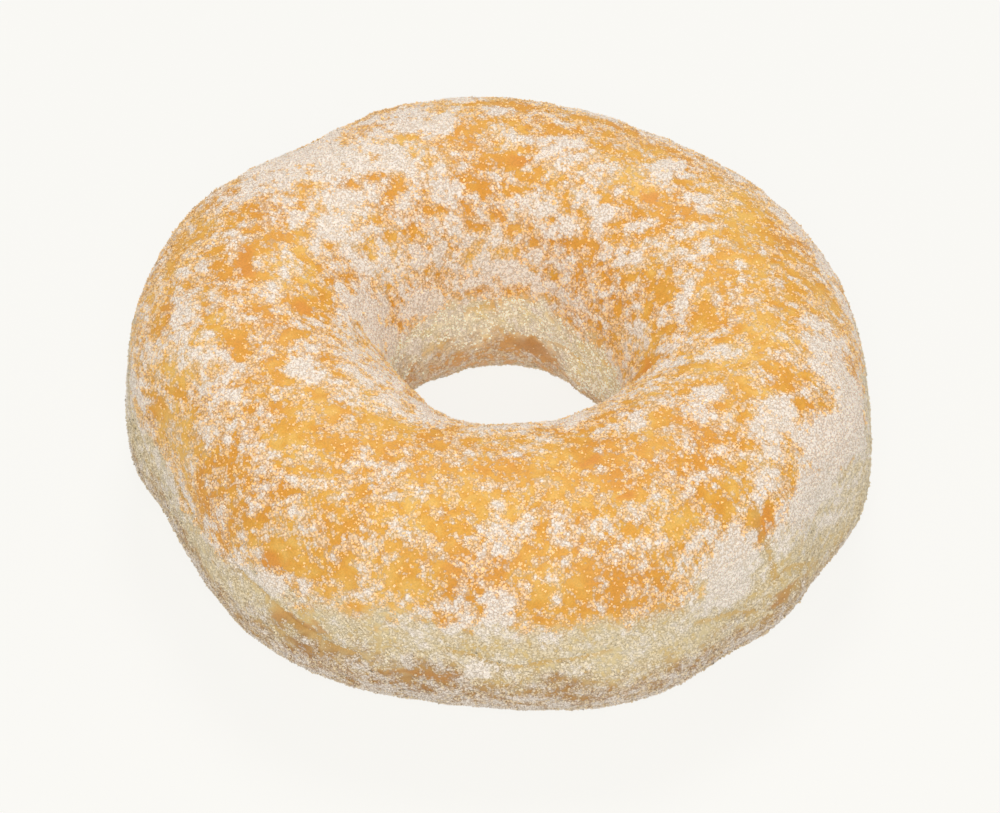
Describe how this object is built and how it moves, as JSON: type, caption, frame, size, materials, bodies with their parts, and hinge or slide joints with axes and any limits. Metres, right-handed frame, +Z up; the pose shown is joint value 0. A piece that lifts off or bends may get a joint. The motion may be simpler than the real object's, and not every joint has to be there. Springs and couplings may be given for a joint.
{
  "type": "sugared ring doughnut",
  "caption": "Round ring of fried dough with a domed golden crown, a pale band round its waist and an open middle hole, coated in patchy fine white sugar.",
  "frame": {"origin": "middle of the ring's outline, on the level of the flat foot that it rests on", "axes": "+Z up through the hole, -Y the side nearest the viewer in the picture, +X to the right in the picture"},
  "size_m": [0.0968, 0.0938, 0.035],
  "materials": {
    "sugared_crust": "golden brown fried crust with a pale cream waist, dusted with patchy fine white sugar grains, matt with small glints"
  },
  "bodies": {
    "root": {"doughnut": "sugared_crust"}
  },
  "joints": []
}
